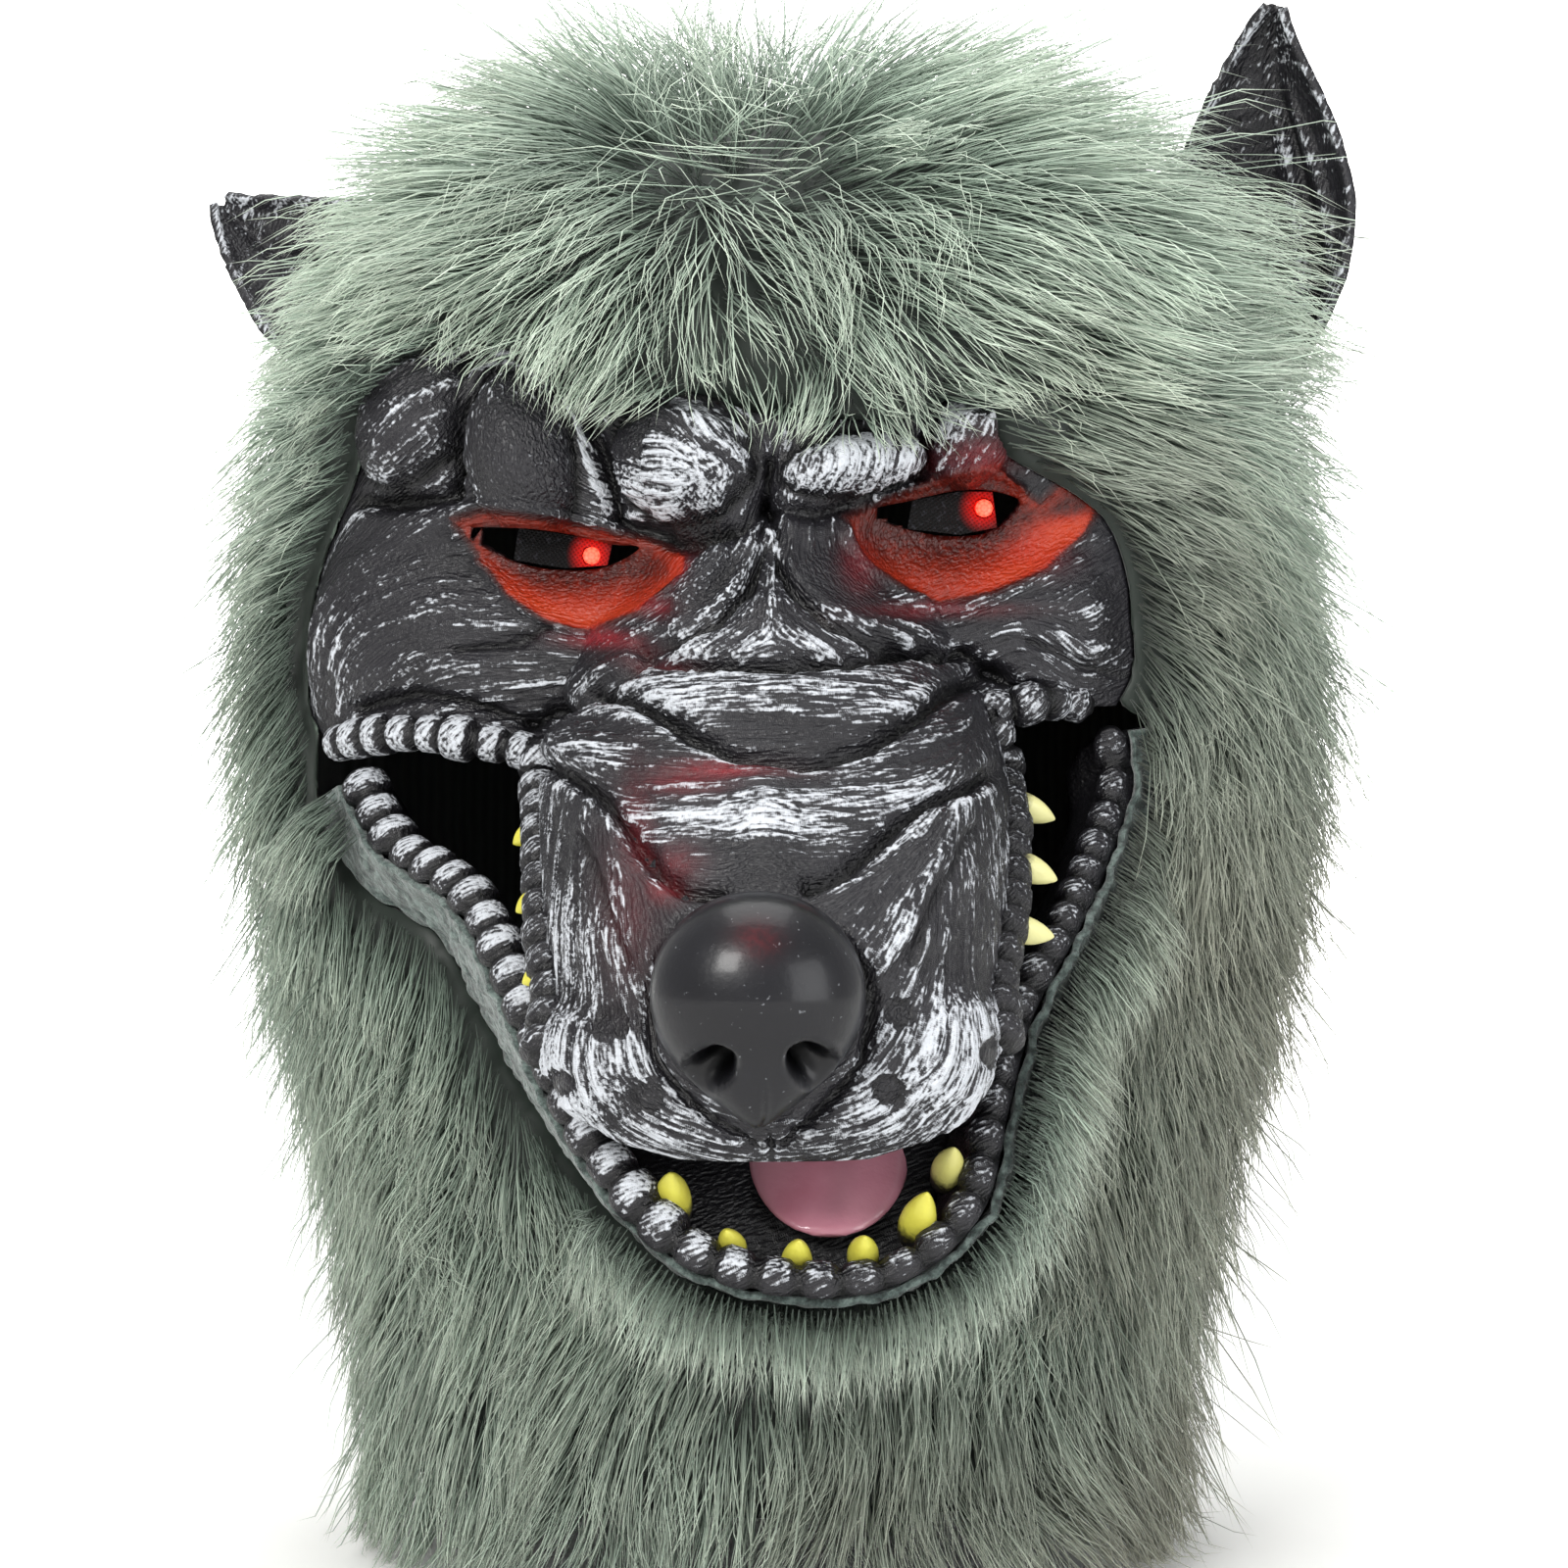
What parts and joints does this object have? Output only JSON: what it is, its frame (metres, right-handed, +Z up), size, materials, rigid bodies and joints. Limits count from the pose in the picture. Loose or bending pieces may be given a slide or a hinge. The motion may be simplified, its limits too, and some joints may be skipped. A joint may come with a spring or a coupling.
{
  "type": "light-up wolf mask",
  "caption": "Over-the-head costume wolf mask: moulded snarling face with lamps behind the eye slits, open toothed mouth and ears, set in a long-pile fur hood that is open below.",
  "frame": {"origin": "inside of the hood's crown, where the wearer's head carries the mask", "axes": "+Z up, the face looks along -Y, +X to the right of someone who faces the mask"},
  "size_m": [0.3403, 0.3898, 0.4354],
  "materials": {
    "moulded_face": "moulded soft PVC, near-black, dry-brushed with silver-white paint",
    "gloss_nose": "glossy black",
    "screen_mesh": "black open mesh",
    "red_lamp": "red lens, lit",
    "tongue_pink": "glossy pink paint",
    "tooth_yellow": "yellow paint, satin",
    "plush_grey": "short-nap plush",
    "backing_cloth": "knitted backing of the fur",
    "fur_grey_green": "long-pile faux fur, grey-green with paler tips"
  },
  "bodies": {
    "root": {"face_shell": "moulded_face", "lower_jaw": "moulded_face", "ear_left": "moulded_face", "ear_right": "moulded_face", "nose_pad": "gloss_nose", "eye_screen_left": "screen_mesh", "eye_screen_right": "screen_mesh", "eye_lamp_left": "red_lamp", "eye_lamp_right": "red_lamp", "tongue": "tongue_pink", "tooth_lower_1": "tooth_yellow", "tooth_lower_2": "tooth_yellow", "tooth_lower_3": "tooth_yellow", "tooth_lower_4": "tooth_yellow", "tooth_lower_5": "tooth_yellow", "tooth_lower_6": "tooth_yellow", "tooth_upper_left_1": "tooth_yellow", "tooth_upper_left_2": "tooth_yellow", "tooth_upper_left_3": "tooth_yellow", "tooth_upper_right_1": "tooth_yellow", "tooth_upper_right_2": "tooth_yellow", "tooth_upper_right_3": "tooth_yellow", "chin_plush": "plush_grey", "hood_cloth": "backing_cloth", "fur_pelt": "fur_grey_green"}
  },
  "joints": []
}
